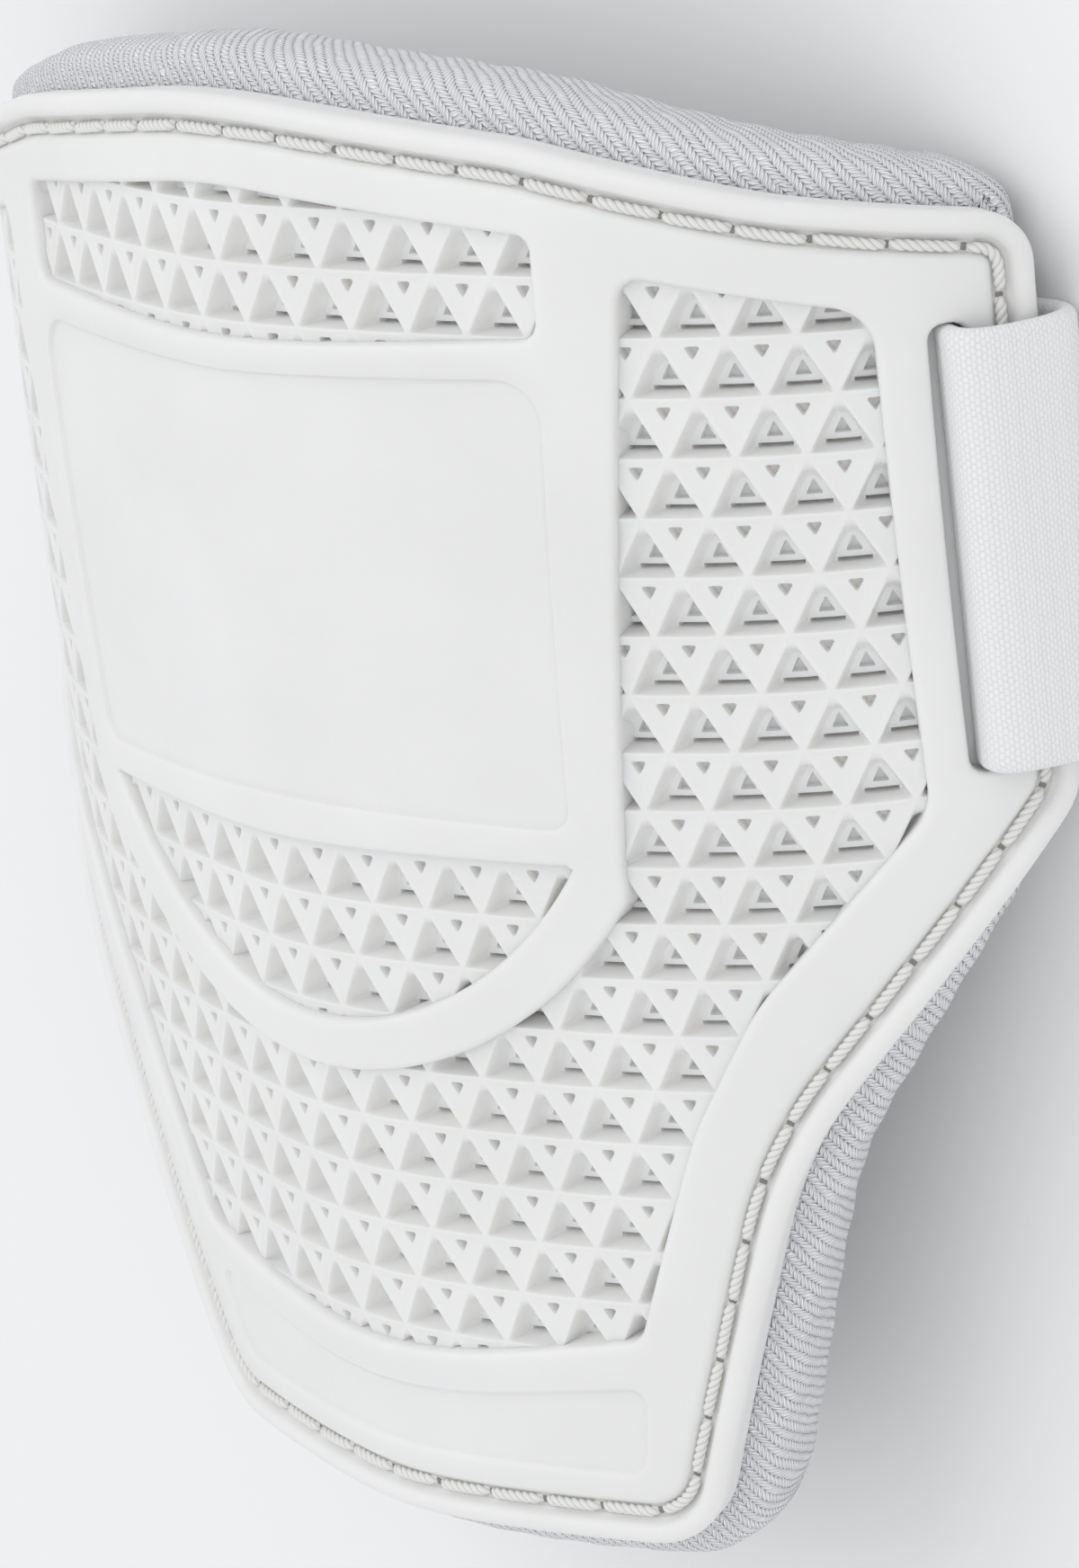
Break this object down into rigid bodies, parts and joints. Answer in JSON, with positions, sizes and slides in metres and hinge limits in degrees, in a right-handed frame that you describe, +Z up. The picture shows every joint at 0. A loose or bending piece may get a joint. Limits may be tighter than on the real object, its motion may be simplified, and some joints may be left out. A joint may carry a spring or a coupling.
{
  "type": "elbow guard",
  "caption": "Moulded elbow guard with a triangular lattice front, padded liner and an elastic strap that closes round the arm.",
  "frame": {"origin": "on the surface it rests on, below the middle of the guard", "axes": "+Z up from the strap's back to the guard's front, +Y along the arm towards the shoulder end, X across the arm"},
  "size_m": [0.1378, 0.1386, 0.038],
  "materials": {
    "shell": "satin, smooth moulded",
    "pad": "woven, matt",
    "strap": "ribbed knitted elastic",
    "hook_tab": "hook tape, matt"
  },
  "bodies": {
    "root": {"shell": "shell", "pad": "pad", "strap": "strap", "hook_tab": "hook_tab"}
  },
  "joints": []
}
